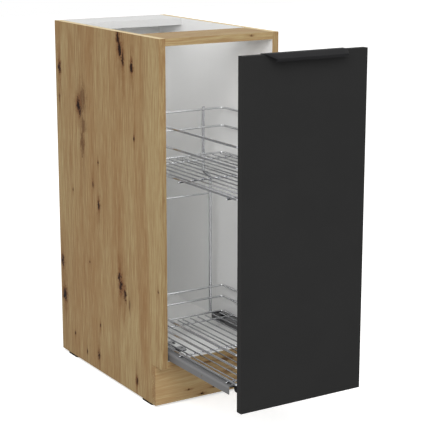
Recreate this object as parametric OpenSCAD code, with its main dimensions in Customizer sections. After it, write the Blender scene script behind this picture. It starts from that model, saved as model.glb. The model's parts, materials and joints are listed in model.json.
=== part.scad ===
// Pull-out base cabinet: a narrow oak and white carcass on low glides, with a black front
// that draws two wire baskets out of it on a pair of roller runners.
// The origin is the middle of the footprint at floor level, with the front drawn out as
// far as pulled_out says. X runs across, Y runs from the front to the back, Z is up.

/* [Carcass] */
// Width across the two side panels
body_w = 300; // [240:1:450]
// Height of the worktop seat above the floor
body_h = 820; // [740:1:900]
// Depth of the side panels
body_d = 500; // [480:1:600]
// Thickness of the carcass boards
board_t = 16; // [15:1:19]
// Thickness of the back panel
back_t = 3; // [2.5:0.5:5]
// Width of the rebate that holds each edge of the back panel
rebate_w = 8; // [5:1:10]
// Height of the toe recess above the floor
toe_h = 98; // [80:1:140]
// Depth of the side panels' toe notch
toe_d = 45; // [35:1:70]
// Thickness of the plinth board
plinth_t = 16.5; // [15:0.5:19]
// Depth of the front top rail
front_rail_d = 111; // [80:1:130]
// Depth of the rear top rail
rear_rail_d = 107.5; // [80:0.5:130]

/* [Glides] */
// Height of each glide
glide_h = 5; // [3:0.5:10]
// Length of each glide
glide_l = 48; // [30:1:60]
// Width of each glide
glide_w = 14; // [10:0.5:15]
// Gap between the rear glide and the back of the cabinet
glide_rear_inset = 28; // [10:1:60]
// Gap between the plinth and the front glide
glide_front_inset = 2; // [1:1:30]
// Diameter of each glide's pin
glide_pin_d = 4; // [3:0.5:6]
// Length of each glide's pin
glide_pin_l = 10; // [6:1:20]

/* [Carcass fittings] */
// Diameter of the dowels
dowel_d = 8; // [6:1:10]
// Length of the dowels
dowel_l = 28; // [20:1:35]
// Depth that a dowel enters a side panel
dowel_in_side = 10; // [8:1:12]
// Diameter of the cam locks
cam_d = 15; // [12:1:20]
// Height of the cam locks
cam_h = 12; // [10:0.5:12.5]
// Distance from a board's end to the middle of its cam
cam_inset = 24; // [20:1:34]
// Diameter of the cam bolts
cam_bolt_d = 6; // [5:0.5:7]
// Distance from the bottom board's front and rear edges to its outer dowels
bottom_dowel_inset = 60; // [40:1:80]
// Distance from the bottom board's front and rear edges to its cams
bottom_cam_inset = 100; // [92:1:160]
// Distance from a rail's long edges to its dowels
rail_dowel_inset = 25; // [15:1:35]

/* [Front] */
// Distance that the front stands out of the cabinet as modelled
pulled_out = 301; // [60:1:315]
// Gap left at each side of the front
front_side_gap = 1.5; // [1:0.5:3]
// Gap between the top of the carcass and the top of the front
front_top_gap = 4.5; // [3:0.5:30]
// Gap between the top of the toe recess and the bottom of the front
front_bottom_gap = 2.5; // [1:0.5:10]
// Thickness of the front
front_t = 16; // [15:1:19]
// Chamfer round the edges of the front
front_chamfer = 0.8; // [0.3:0.1:1.5]
// Gap between the closed front and the carcass
closed_gap = 2; // [1.8:0.1:3]
// Thickness of the bumpers on the back of the front
bumper_t = 1.7; // [1:0.1:1.7]
// Diameter of the bumpers
bumper_d = 8; // [6:1:12]

/* [Handle] */
// Length of the handle where it lies on the front
handle_l = 194; // [120:1:230]
// Length of the handle's outer lip
lip_l = 167; // [100:1:194]
// Thickness of the handle's sheet
handle_t = 1.5; // [1:0.1:1.7]
// Distance that the handle reaches out of the front
handle_reach = 23.2; // [15:0.1:35]
// Drop of the handle's slope
handle_drop = 8; // [2:0.5:15]
// Distance that the lip turns back
lip_back = 4; // [1:0.5:8]
// Drop of the lip
lip_drop = 5; // [2:0.5:10]
// Height of the handle's flange behind the front
handle_flange_h = 24; // [16:1:40]
// Number of screws that hold the handle
handle_screws_n = 3; // [2:1:5]

/* [Baskets] */
// Gap between the closed baskets' frame and the back panel
rear_clearance = 2.9; // [2:0.1:20]
// Gap between a basket's rim and the side panel
side_clearance = 8.1; // [4:0.1:20]
// Distance from the front's back face to the front wire of the rims
basket_start = 35; // [30:1:60]
// Diameter of the rim wire
rim_wire_d = 5; // [4:0.5:6]
// Radius of the rims' corners, at the middle of the wire
rim_corner_r = 9; // [6:1:30]
// Diameter of the cross wires under a basket
cross_wire_d = 4; // [3:0.5:5]
// Distance from the rims' front and rear wires to the outer cross wires
cross_wire_inset = 37; // [20:1:80]
// Distance that a cross wire's end passes the middle of the rim wire
cross_wire_overhang = 3.6; // [0:0.1:5]
// Diameter of the floor wires
floor_wire_d = 3; // [2:0.5:4]
// Number of floor wires on each side of the middle
floor_wires_per_side = 6; // [3:1:6]
// Distance from the rims' side wires to the outer floor wires
floor_wire_side_gap = 14.4; // [8:0.1:30]
// Distance between the two middle floor wires
floor_middle_gap = 13; // [8:0.5:16]
// Distance from the rims' front and rear wires to the floor wires' ends
floor_wire_inset = 12; // [6:0.5:30]
// Height of the middle rim above the lower basket's base rim
lower_mid_rise = 36.3; // [25:0.1:60]
// Height of the top rim above the lower basket's base rim
lower_top_rise = 63.4; // [45:0.1:120]
// Height of the upper basket's base rim above the floor
upper_base_z = 526.4; // [440:0.1:560]
// Height of the middle rim above the upper basket's base rim
upper_mid_rise = 62.9; // [30:0.1:80]
// Height of the top rim above the upper basket's base rim
upper_top_rise = 104.7; // [80:0.1:140]

/* [Basket frame] */
// Diameter of the uprights
upright_d = 7; // [5:0.5:8]
// Distance from the rims' side wires to the uprights' lower stretch
upright_low_inset = 30.4; // [26:0.1:40]
// Distance from the rims' side wires to the uprights' upper stretch
upright_high_inset = 49.4; // [45:0.1:62]
// Height at which the uprights start to bend inwards
joggle_start_z = 471; // [440:1:480]
// Radius of the uprights' bends, at the middle of the wire
joggle_r = 12; // [8:1:20]
// Distance that the uprights pass the top rim
upright_overrun = 5; // [2:0.5:20]
// Diameter of the bar between the uprights
frame_bar_d = 4; // [3:0.5:6]
// Height of the bar between the uprights
frame_bar_z = 431; // [330:1:450]
// Height of the lower frame clamps
low_clamp_z = 300; // [250:1:320]
// Distance of the upper frame clamps below the top rim
high_clamp_drop = 21; // [18:1:24]
// Height of a frame clamp
clamp_h = 22; // [16:1:28]

/* [Runners] */
// Width of a carrier
carrier_w = 25; // [22:0.5:30]
// Height of a carrier
carrier_h = 19; // [17:0.5:24]
// Thickness of a carrier's sheet
carrier_t = 1.2; // [1:0.1:1.5]
// Outer radius of a carrier's bends
carrier_bend_r = 2; // [1.6:0.1:3]
// Length of a carrier
carrier_l = 395; // [360:1:440]
// Distance from the front's back face to a carrier's front end
carrier_start = 55; // [45:1:55]
// Length of a carrier that has neither inner wall nor lips at its front end
carrier_cutback = 42; // [20:1:60]
// Radius of the lower corners at a carrier's ends
carrier_corner_r = 4; // [2:0.5:6]
// Width of a carrier's bottom lips
carrier_lip_w = 6.2; // [5:0.1:7]
// Gap between a side panel and a carrier
carrier_side_gap = 2; // [1:0.1:5]
// Gap between a carrier's lips and a runner's foot plate
carrier_foot_gap = 0.3; // [0.2:0.1:1]
// Diameter of the hole in a carrier's outer wall
carrier_hole_d = 4; // [2:0.5:6]
// Distance from the front's back face to that hole
carrier_hole_y = 162; // [120:1:300]
// Distance from the carcass front to a runner's foot plate
runner_start = 40; // [20:1:60]
// Length of a runner's foot plate
runner_l = 172; // [170:1:230]
// Thickness of a runner's foot plate
foot_t = 1.2; // [1:0.1:2]
// Distance from a foot plate's front end to the runner's housing
housing_inset = 30; // [28:1:40]
// Thickness of a housing's cheeks and top
housing_t = 1.4; // [1:0.1:1.8]
// Number of rollers in each runner
rollers_n = 4; // [2:1:4]
// Distance from the carcass front to the first roller
first_roller_y = 92; // [86:1:100]
// Distance between rollers
roller_pitch = 28; // [22:1:30]
// Gap between a roller and the carrier it runs in
roller_gap = 0.3; // [0.2:0.05:0.5]
// Diameter of the roller axles
axle_d = 4; // [3:0.5:5]
// Radial clearance of a roller on its axle
axle_clearance = 0.05; // [0.02:0.01:0.1]

/* [Front brackets] */
// Thickness of the brackets' sheet
bracket_t = 2.5; // [2:0.1:3]
// Length of the tongue inside the carrier
tongue_inset = 12; // [8:0.5:12]
// Width of the flange on the front
bracket_flange_w = 34; // [24:1:40]
// Height of the flange on the front
bracket_flange_h = 84; // [60:1:120]
// Number of screws in each bracket
bracket_screws_n = 3; // [2:1:4]

/* [Screws] */
// Diameter of the wood screws' shanks
screw_d = 3.5; // [3:0.5:4]
// Length of the wood screws' shanks in the boards
screw_l = 12; // [8:1:13]
// Diameter of the screws' heads
screw_head_d = 8; // [6:0.5:9]
// Height of the screws' heads
screw_head_h = 2.2; // [1.5:0.1:3]

/* [Floor catch] */
// Distance of the catch from the left side panel
catch_side_gap = 46; // [35:1:80]
// Distance of the catch from the carcass front
catch_start = 44; // [20:1:80]
// Length of the catch
catch_l = 62; // [50:1:90]
// Width of the catch
catch_w = 30; // [24:1:40]
// Height of the catch
catch_h = 7; // [6:0.5:12]

/* [Hidden] */
$fn = 48;
// Overshoot of a cut past the face that it opens
cut = 1;
// Clearance between fitted pieces that don't move, such as a dowel in its hole
fit = 0.05;

// Carcass
inner_x = body_w / 2 - board_t;
top_z = body_h - board_t;
floor_z = toe_h + board_t;
board_d = body_d - back_t;
rear_rail_y = board_d - rear_rail_d;
front_y = -pulled_out;
front_reach = front_t + handle_reach + handle_t / 2;
// The middle of the footprint lies here, measured from the carcass front
middle_y = (body_d - pulled_out - front_reach) / 2;

// Dowels and cams, as places along the depth
bottom_dowel_y = [bottom_dowel_inset, body_d / 2, body_d - bottom_dowel_inset];
bottom_cam_y = [bottom_cam_inset, body_d - bottom_cam_inset];
front_rail_dowel_y = [rail_dowel_inset, front_rail_d - rail_dowel_inset];
rear_rail_dowel_y = [rear_rail_y + rail_dowel_inset, board_d - rail_dowel_inset];
front_rail_cam_y = [front_rail_d / 2];
rear_rail_cam_y = [rear_rail_y + rear_rail_d / 2];
cam_bolt_in_side = 10;
plinth_dowel_z = [glide_h + 25, toe_h - 25];
plinth_y = toe_d - plinth_t;
plinth_dowel_in = 10;

// Front
front_w = body_w - 2 * front_side_gap;
front_z = toe_h + front_bottom_gap;
front_h = body_h - front_top_gap - front_z;
bumper_inset = board_t / 2 - front_side_gap;
bumper_rise = 24;

// Handle, as a sheet bent along Y and Z from the top outer edge of the front
handle_path = [
    [front_t + handle_t / 2, -handle_flange_h],
    [front_t + handle_t / 2, handle_t / 2],
    [0, handle_t / 2],
    [-handle_reach, handle_t / 2 - handle_drop],
    [-handle_reach + lip_back, handle_t / 2 - handle_drop - lip_drop]
];
handle_screw_head_d = 6.5;
handle_screw_drop = handle_flange_h / 2;
handle_screw_pitch = (handle_l - 40) / (handle_screws_n - 1);

// Runners, in section across the width
carrier_out_x = inner_x - carrier_side_gap;
carrier_in_x = carrier_out_x - carrier_w;
carrier_z = floor_z + foot_t + carrier_foot_gap;
carrier_top = carrier_z + carrier_h;
runner_x = (carrier_out_x + carrier_in_x) / 2;
inner_w = carrier_w - 2 * carrier_t;
inner_h = carrier_h - 2 * carrier_t;
slot_w = carrier_w - 2 * carrier_lip_w;
roller_d = inner_h - 2 * roller_gap;
roller_z = carrier_z + carrier_h / 2;
roller_bore_d = axle_d + 2 * axle_clearance;
housing_w = inner_w - 2;
housing_z = carrier_z + carrier_t + roller_gap;
housing_top = carrier_top - carrier_t - roller_gap - 1.2;
stem_w = slot_w - 2;
roller_w = housing_w - 2 * housing_t - 0.6;
pocket_l = roller_d + 2;
runner_screw_inset = 13;
housing_y = runner_start + housing_inset;
housing_l = runner_l - housing_inset;
rear_foot_l = 23;
arch_l = 44;
arch_h = 5;
arch_y = runner_start + runner_l - rear_foot_l - arch_l;

// Baskets, measured from the back face of the front
rim_x = inner_x - side_clearance - rim_wire_d / 2;
rim_front = basket_start;
rim_rear = closed_gap + board_d - rear_clearance - upright_d - fit - rim_wire_d / 2;
rim_middle = (rim_front + rim_rear) / 2;
cross_wire_y = [rim_front + cross_wire_inset, rim_middle, rim_rear - cross_wire_inset];
cross_wire_drop = rim_wire_d / 2 + fit + cross_wire_d / 2;
floor_wire_drop = (rim_wire_d - floor_wire_d) / 2;
floor_wire_pitch = (rim_x - floor_wire_side_gap - floor_middle_gap / 2) / (floor_wires_per_side - 1);
floor_wire_x = [for (i = [0 : floor_wires_per_side - 1]) floor_middle_gap / 2 + i * floor_wire_pitch];
lower_base_z = carrier_top + fit + cross_wire_d / 2 + cross_wire_drop;

// Basket frame
upright_low_x = rim_x - upright_low_inset;
upright_high_x = rim_x - upright_high_inset;
upright_y = rim_wire_d / 2 + fit + upright_d / 2;
front_upright_y = rim_front - upright_y;
rear_upright_y = rim_rear + upright_y;
upright_foot_z = lower_base_z - rim_wire_d / 2;
upright_head_z = upper_base_z + upper_top_rise + upright_overrun;
// The uprights lean inwards by 4 for each 3 that they rise
joggle_end_z = joggle_start_z + (upright_low_x - upright_high_x) * 3 / 4;
clamp_t = 4;
clamp_foot_w = 44;
clamp_post_w = 16;
clamp_screw_x = 16;

// Front brackets
tongue_in_x = carrier_in_x + 2;
tongue_z = carrier_z + 0.5;
ear_z = carrier_top - carrier_t - fit - bracket_t;
ear_w = 16;
rivet_d = 4;
rivet_head_d = 7;
rivet_head_h = 0.6;
rivet_x = tongue_in_x + bracket_t + 8;
rivet_y = carrier_start + tongue_inset / 2;
bracket_screw_pitch = (bracket_flange_h - 24) / (bracket_screws_n - 1);
bracket_screw_x = tongue_in_x - bracket_flange_w / 2 + 4;

// Floor catch
catch_x = -inner_x + catch_side_gap;
catch_t = 1.5;
catch_rail_t = 3;
catch_strip_w = 13.5;
catch_bar_w = 8;
catch_tongue_l = catch_l * 0.36;

// Places what is fixed to the carcass, measured from the carcass front
module cabinet() translate([0, -middle_y, 0]) children();

// Places what moves with the front, measured from its back face
module pull_out() translate([0, front_y - middle_y, 0]) children();

// Draws its children on the left and mirrored on the right
module both_sides() for (side = [0, 1]) mirror([side, 0, 0]) children();

module on_left() children();

module on_right() mirror([1, 0, 0]) children();

// Rod from one place along X
module rod_x(x, y, z, l, d) translate([x, y, z]) rotate([0, 90, 0]) cylinder(h = l, d = d);

// Rod from one place along Y
module rod_y(x, y, z, l, d) translate([x, y, z]) rotate([-90, 0, 0]) cylinder(h = l, d = d);

// Rectangle with round corners, its lower left corner at the origin
module round_rect(size, r) {
    translate([r, 0]) square([size.x - 2 * r, size.y]);
    translate([0, r]) square([size.x, size.y - 2 * r]);
    for (x = [r, size.x - r], y = [r, size.y - r]) translate([x, y]) circle(r);
}

function way(a, b) = (b - a) / norm(b - a);
function cross_of(u, v) = u.x * v.y - u.y * v.x;

// Distance from the corner b at which a bend of radius r starts, on the way from a to c
function setback(a, b, c, r) = r * abs(cross_of(way(a, b), way(b, c))) / (1 + way(a, b) * way(b, c));

// Corner i of a path, moved sideways by d along the mitre
function mitred(path, i, d) =
    let (
        u = way(path[max(i - 1, 0)], path[max(i, 1)]),
        v = way(path[min(i, len(path) - 2)], path[min(i + 1, len(path) - 1)])
    ) path[i] + d * [-u.y - v.y, u.x + v.x] / (1 + u * v);

// Flat strip of one width along a path, with mitred corners
module strip(path, width) {
    last = len(path) - 1;
    polygon(concat(
        [for (i = [0 : last]) mitred(path, i, width / 2)],
        [for (i = [last : -1 : 0]) mitred(path, i, -width / 2)]
    ));
}

// Wire along a flat path in the plane z = 0, with each corner bent to radius r
module bent_wire(path, d, r, closed = false) {
    n = len(path);
    function at(i) = path[(i + n) % n];
    function trim(i) = closed || (i > 0 && i < n - 1) ? setback(at(i - 1), at(i), at(i + 1), r) : 0;
    for (i = [0 : closed ? n - 1 : n - 2]) {
        u = way(at(i), at(i + 1));
        translate([at(i).x, at(i).y, 0]) rotate([0, 0, atan2(u.y, u.x)])
            rod_x(trim(i), 0, 0, norm(at(i + 1) - at(i)) - trim(i) - trim((i + 1) % n), d);
    }
    for (i = [closed ? 0 : 1 : closed ? n - 1 : n - 2])
        wire_bend(at(i - 1), at(i), at(i + 1), d, r);
}

// Bend of a wire at the corner b, on the way from a to c: a wedge of a ring
module wire_bend(a, b, c, d, r) {
    u = way(a, b);
    v = way(b, c);
    side = sign(cross_of(u, v));
    centre = b - setback(a, b, c, r) * u + side * r * [-u.y, u.x];
    reach = 2 * (r + d);
    first = side * reach * [u.y, -u.x];
    last = side * reach * [v.y, -v.x];
    translate([centre.x, centre.y, 0]) intersection() {
        rotate_extrude() translate([r, 0]) circle(d = d);
        translate([0, 0, -d]) linear_extrude(2 * d)
            polygon(side > 0 ? [[0, 0], first, last] : [[0, 0], last, first]);
    }
}

// Box with all its edges chamfered
module chamfered_box(size, c) {
    module face(a, b) polygon([
        [c, 0], [a - c, 0], [a, c], [a, b - c], [a - c, b], [c, b], [0, b - c], [0, c]
    ]);
    intersection() {
        linear_extrude(size.z) face(size.x, size.y);
        translate([0, size.y, 0]) rotate([90, 0, 0]) linear_extrude(size.y) face(size.x, size.z);
        rotate([90, 0, 90]) linear_extrude(size.x) face(size.y, size.z);
    }
}

// Pan-head wood screw along +Z, its head standing on z = 0 and its shank below
module pan_screw() {
    translate([0, 0, -screw_l]) cylinder(h = screw_l + fit, d = screw_d);
    cylinder(h = screw_head_h * 0.6, d = screw_head_d);
    translate([0, 0, screw_head_h * 0.6])
        cylinder(h = screw_head_h * 0.4, d1 = screw_head_d, d2 = screw_head_d * 0.6);
}

// Hole for a wood screw, opening upwards at z = 0
module screw_hole() translate([0, 0, -screw_l - cut])
    cylinder(h = screw_l + 2 * cut, d = screw_d + 2 * fit);

// Dowels between the boards and the left side panel, made larger by a clearance
module left_dowels(grow) {
    bottom_z = toe_h + board_t / 2;
    rail_z = top_z + board_t / 2;
    x = -inner_x - dowel_in_side - grow;
    l = dowel_l + 2 * grow;
    d = dowel_d + 2 * min(grow, fit);
    for (y = bottom_dowel_y) rod_x(x, y, bottom_z, l, d);
    for (y = concat(front_rail_dowel_y, rear_rail_dowel_y)) rod_x(x, y, rail_z, l, d);
}

// Dowels between the plinth board and the left side panel
module left_plinth_dowels(grow) {
    x = -inner_x - board_t / 2;
    for (z = plinth_dowel_z)
        rod_y(x, toe_d - plinth_dowel_in - grow, z, dowel_l + 2 * grow, dowel_d + 2 * min(grow, fit));
}

// Cam bolts that join the boards to the left side panel
module left_cam_bolts(grow) {
    x = -inner_x - cam_bolt_in_side - grow;
    l = cam_bolt_in_side + cam_inset - cam_d / 2 + grow - fit;
    d = cam_bolt_d + 2 * min(grow, fit);
    for (y = bottom_cam_y) rod_x(x, y, toe_h + board_t / 2, l, d);
    for (y = concat(front_rail_cam_y, rear_rail_cam_y)) rod_x(x, y, top_z + board_t / 2, l, d);
}

// Cam locks let into the undersides of the boards at the left
module left_cam_locks(grow) {
    x = -inner_x + cam_inset;
    d = cam_d + 2 * min(grow, fit);
    for (y = bottom_cam_y) translate([x, y, toe_h - grow]) cylinder(h = cam_h + grow, d = d);
    for (y = concat(front_rail_cam_y, rear_rail_cam_y))
        translate([x, y, top_z - grow]) cylinder(h = cam_h + grow, d = d);
}

// Holes that the fittings need in the boards
module fitting_holes() both_sides() {
    left_dowels(cut);
    left_plinth_dowels(cut);
    left_cam_bolts(cut);
    left_cam_locks(cut);
}

// One glide under the left side panel, from y to the back, or only its pin if grown
module glide(y, grow) {
    x = -body_w / 2 + board_t / 2;
    if (grow == 0) translate([x - glide_w / 2, y, 0])
        linear_extrude(glide_h - fit) round_rect([glide_w, glide_l], glide_w * 0.4);
    translate([x, y + glide_l / 2, glide_h / 2])
        cylinder(h = glide_h / 2 + glide_pin_l + grow, d = glide_pin_d + 2 * min(grow, fit));
}

// Both glides under the left side panel, with their pins made larger by a clearance
module left_glides(grow) {
    glide(toe_d + glide_front_inset, grow);
    glide(body_d - glide_rear_inset - glide_l, grow);
}

module side_panel() difference() {
    translate([-body_w / 2, 0, 0]) rotate([90, 0, 90]) linear_extrude(board_t) polygon([
        [toe_d, glide_h], [body_d, glide_h], [body_d, body_h], [0, body_h], [0, toe_h], [toe_d, toe_h]
    ]);
    translate([-inner_x - rebate_w - fit, board_d, toe_h - fit])
        cube([rebate_w + fit + cut, back_t + cut, body_h - toe_h + cut]);
    left_dowels(cut);
    left_plinth_dowels(cut);
    left_cam_bolts(cut);
    left_glides(cut);
}

module left_side_panel() color("burlywood") cabinet() on_left() side_panel();

module right_side_panel() color("burlywood") cabinet() on_right() side_panel();

// Board that lies across between the side panels
module cross_board(y, z, d) difference() {
    translate([-inner_x, y, z]) cube([2 * inner_x, d, board_t]);
    fitting_holes();
}

module bottom_panel() color("whitesmoke") cabinet() difference() {
    cross_board(0, toe_h, board_d);
    both_sides() runner_screw_places() screw_hole();
    catch_screw_places() screw_hole();
}

module front_rail() color("burlywood") cabinet() cross_board(0, top_z, front_rail_d);

module rear_rail() color("whitesmoke") cabinet() cross_board(rear_rail_y, top_z, rear_rail_d);

module plinth_board() color("burlywood") cabinet() difference() {
    translate([-body_w / 2, plinth_y, glide_h]) cube([body_w, plinth_t, toe_h - glide_h - fit]);
    both_sides() left_plinth_dowels(cut);
}

module back_panel() color("white") cabinet()
    translate([-inner_x - rebate_w, board_d, toe_h])
        cube([2 * (inner_x + rebate_w), back_t, body_h - toe_h]);

module glides() color("black") cabinet() both_sides() left_glides(0);

module dowels() color("tan") cabinet() both_sides() {
    left_dowels(0);
    left_plinth_dowels(0);
}

module cam_locks() color("gray") cabinet() both_sides() difference() {
    left_cam_locks(0);
    for (z = [toe_h, top_z]) translate([-inner_x + cam_inset, 0, z]) cam_slots();
}

// Screwdriver slots in the cams of one level
module cam_slots() for (y = concat(bottom_cam_y, front_rail_cam_y, rear_rail_cam_y))
    translate([-5, y - 0.75, -cut]) cube([10, 1.5, cut + 2]);

module cam_bolts() color("silver") cabinet() both_sides() left_cam_bolts(0);

// Places of the screws in the left runner's foot plate, on the cabinet floor
module runner_screw_places()
    for (y = [runner_start + runner_screw_inset, runner_start + runner_l - runner_screw_inset])
        translate([-runner_x, y, floor_z]) children();

// Places of the rollers along a runner
function roller_y(i) = first_roller_y + i * roller_pitch;

// Left runner: a foot plate, and a roller housing on a narrow stem that arches over the floor
module runner() difference() {
    union() {
        translate([-runner_x - housing_w / 2, runner_start, floor_z])
            linear_extrude(foot_t) round_rect([housing_w, runner_l], 4);
        translate([-runner_x - stem_w / 2, housing_y, floor_z])
            cube([stem_w, housing_l, housing_top - floor_z]);
        translate([-runner_x - housing_w / 2, housing_y, housing_z])
            cube([housing_w, housing_l, housing_top - housing_z]);
    }
    translate([-runner_x - housing_w / 2 - cut, arch_y, floor_z - cut])
        cube([housing_w + 2 * cut, arch_l, arch_h + cut]);
    for (i = [0 : rollers_n - 1]) translate([-runner_x, roller_y(i), 0]) {
        translate([-roller_w / 2 - 0.3, -pocket_l / 2, roller_z - roller_d / 2 - 0.2])
            cube([roller_w + 0.6, pocket_l, carrier_h]);
        rod_x(-housing_w / 2 - cut, 0, roller_z, housing_w + 2 * cut, axle_d + 2 * fit);
    }
    runner_screw_places() {
        translate([0, 0, -cut]) cylinder(h = foot_t + 2 * cut, d = screw_d + 2 * fit);
        translate([0, 0, foot_t + fit]) cylinder(h = carrier_h, d = screw_head_d + 1);
    }
}

module left_runner() color("dimgray") cabinet() on_left() runner();

module right_runner() color("dimgray") cabinet() on_right() runner();

module runner_screws() color("silver") cabinet() both_sides()
    runner_screw_places() translate([0, 0, foot_t + fit]) pan_screw();

module roller_axles() color("silver") cabinet() both_sides()
    for (i = [0 : rollers_n - 1])
        rod_x(-runner_x - housing_w / 2, roller_y(i), roller_z, housing_w, axle_d);

// Roller i of the left runner
module roller(i) translate([-runner_x, roller_y(i), roller_z]) rotate([0, 90, 0]) difference() {
    cylinder(h = roller_w, d = roller_d, center = true);
    cylinder(h = roller_w + 2 * cut, d = roller_bore_d, center = true);
    both_ends() translate([0, 0, roller_w / 2 - 1]) difference() {
        cylinder(h = 1 + cut, d = roller_d - 4);
        cylinder(h = 1 + cut, d = axle_d + 3);
    }
}

// Draws its children at both ends of a roller
module both_ends() for (end = [0, 1]) mirror([0, 0, end]) children();

module left_roller_1() color("black") cabinet() on_left() roller(0);

module left_roller_2() color("black") cabinet() on_left() roller(1);

module left_roller_3() color("black") cabinet() on_left() roller(2);

module left_roller_4() color("black") cabinet() on_left() roller(3);

module right_roller_1() color("black") cabinet() on_right() roller(0);

module right_roller_2() color("black") cabinet() on_right() roller(1);

module right_roller_3() color("black") cabinet() on_right() roller(2);

module right_roller_4() color("black") cabinet() on_right() roller(3);

// Catch on the cabinet floor: a foot with a slotted rail along its left side, a bridge across
// its rear and a raised tongue in front
module floor_catch() color("silver") cabinet() translate([catch_x, catch_start, floor_z]) difference() {
    union() {
        linear_extrude(catch_t) round_rect([catch_w, catch_tongue_l], 6);
        translate([0, 8, 0]) cube([catch_strip_w, catch_l - 8, catch_t]);
        translate([0, 8, 0]) cube([catch_rail_t, catch_l - 8, catch_h]);
        translate([0, catch_l - catch_bar_w, 0]) cube([catch_w, catch_bar_w, catch_h]);
        translate([catch_w * 0.3, 1, 0]) linear_extrude(catch_h * 0.7)
            round_rect([catch_w * 0.7 - 1, catch_tongue_l - 2], 5);
    }
    translate([catch_strip_w, catch_l - catch_bar_w - cut, -cut])
        cube([catch_w - catch_strip_w - 4, catch_bar_w + 2 * cut, catch_h - 2.5 + cut]);
    for (y = [catch_l * 0.25, catch_l * 0.55]) translate([-cut, y, catch_t])
        cube([catch_rail_t + 2 * cut, catch_l * 0.2, catch_h - catch_t - 2]);
    catch_holes() translate([0, 0, -cut]) cylinder(h = catch_h + 2 * cut, d = screw_d + 2 * fit);
    catch_holes() translate([0, 0, catch_t]) cylinder(h = catch_h, d = screw_head_d + 1);
}

// Places of the holes in the floor catch, measured from its own corner
module catch_holes() for (place = [
    [catch_w * 0.65, catch_tongue_l / 2], [(catch_rail_t + catch_strip_w) / 2, catch_l * 0.62]
]) translate(place) children();

module catch_screw_places() translate([catch_x, catch_start, floor_z]) catch_holes() children();

module catch_screws() color("silver") cabinet()
    catch_screw_places() translate([0, 0, catch_t + fit]) pan_screw();

// Places of the screws in the left bracket's flange, on the back of the front
module bracket_screw_places() for (i = [0 : bracket_screws_n - 1])
    translate([-bracket_screw_x, 0, tongue_z + 12 + i * bracket_screw_pitch])
        rotate([-90, 0, 0]) children();

// Places of the left frame clamps: side distance and height
function clamp_places() = [
    [upright_low_x, low_clamp_z], [upright_high_x, upper_base_z + upper_top_rise - high_clamp_drop]
];

// Places of the screws of the left frame clamps, on the back of the front
module clamp_screw_places() for (place = clamp_places(), x = [-clamp_screw_x, clamp_screw_x])
    translate([-place.x + x, 0, place.y]) rotate([-90, 0, 0]) children();

// Places of the handle's screws, on the back of the front
module handle_screw_places() for (i = [0 : handle_screws_n - 1])
    translate([-handle_l / 2 + 20 + i * handle_screw_pitch, 0, front_z + front_h - handle_screw_drop])
        rotate([-90, 0, 0]) children();

module front_panel() color([0.18, 0.18, 0.18]) pull_out() difference() {
    translate([-front_w / 2, -front_t, front_z])
        chamfered_box([front_w, front_t, front_h], front_chamfer);
    both_sides() {
        bracket_screw_places() screw_hole();
        clamp_screw_places() screw_hole();
    }
    handle_screw_places() screw_hole();
}

// Soft bumpers on the back of the front, facing the edges of the side panels
module front_bumpers() color("gainsboro") pull_out() both_sides()
    for (z = [front_z + bumper_rise, front_z + front_h - bumper_rise])
        rod_y(-front_w / 2 + bumper_inset, fit, z, bumper_t - fit, bumper_d);

// Black sheet bent over the top edge of the front, with a sloping grip and a turned lip
module edge_handle() color([0.12, 0.12, 0.12]) pull_out() difference() {
    intersection() {
        translate([-handle_l / 2 - cut, -front_t, front_z + front_h]) rotate([90, 0, 90])
            linear_extrude(handle_l + 2 * cut) strip(handle_path, handle_t);
        translate([0, -front_t, front_z]) linear_extrude(front_h + body_h) polygon([
            [-handle_l / 2, front_t + 2 * handle_t], [-handle_l / 2, -handle_t],
            [-lip_l / 2, -handle_reach - handle_t / 2], [lip_l / 2, -handle_reach - handle_t / 2],
            [handle_l / 2, -handle_t], [handle_l / 2, front_t + 2 * handle_t]
        ]);
    }
    handle_screw_places() translate([0, 0, -fit])
        cylinder(h = handle_t + 2 * fit, d1 = screw_d + 2 * fit, d2 = handle_screw_head_d + 4 * fit);
}

module handle_screws() color("black") pull_out() handle_screw_places() {
    translate([0, 0, -screw_l]) cylinder(h = screw_l + fit, d = screw_d);
    cylinder(h = handle_t, d1 = screw_d, d2 = handle_screw_head_d);
}

// Left bracket: a flange on the front, a tongue back to the carrier and an ear under its top
module front_bracket() difference() {
    union() {
        translate([-tongue_in_x, 0, tongue_z]) mirror([1, 0, 0]) rotate([90, 0, 90])
            linear_extrude(bracket_t) tongue_outline();
        translate([-tongue_in_x - bracket_t, fit, tongue_z]) rotate([90, 0, 0]) mirror([0, 0, 1])
            linear_extrude(bracket_t) round_rect([bracket_flange_w, bracket_flange_h], 5);
        translate([-tongue_in_x - bracket_t - ear_w, carrier_start, ear_z])
            cube([ear_w + bracket_t, tongue_inset, bracket_t]);
    }
    bracket_screw_places() translate([0, 0, -cut])
        cylinder(h = bracket_t + 2 * cut, d = screw_d + 2 * fit);
    translate([-rivet_x, rivet_y, ear_z - cut]) cylinder(h = bracket_t + 2 * cut, d = rivet_d + 2 * fit);
}

// Side view of a bracket's tongue, rising against the front into a gusset
module tongue_outline() {
    tongue_h = ear_z + bracket_t - tongue_z;
    tongue_l = carrier_start + tongue_inset;
    r = 6;
    polygon([
        [fit, 0], [tongue_l - r, 0], [tongue_l - r, r], [tongue_l, r], [tongue_l, tongue_h],
        [tongue_h + 12, tongue_h], [bracket_t, bracket_flange_h * 0.8], [fit, bracket_flange_h * 0.8]
    ]);
    translate([tongue_l - r, r]) circle(r);
}

module left_front_bracket() color([0.1, 0.1, 0.1]) pull_out() on_left() front_bracket();

module right_front_bracket() color([0.1, 0.1, 0.1]) pull_out() on_right() front_bracket();

module bracket_screws() color("silver") pull_out() both_sides()
    bracket_screw_places() translate([0, 0, bracket_t + 2 * fit]) pan_screw();

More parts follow.
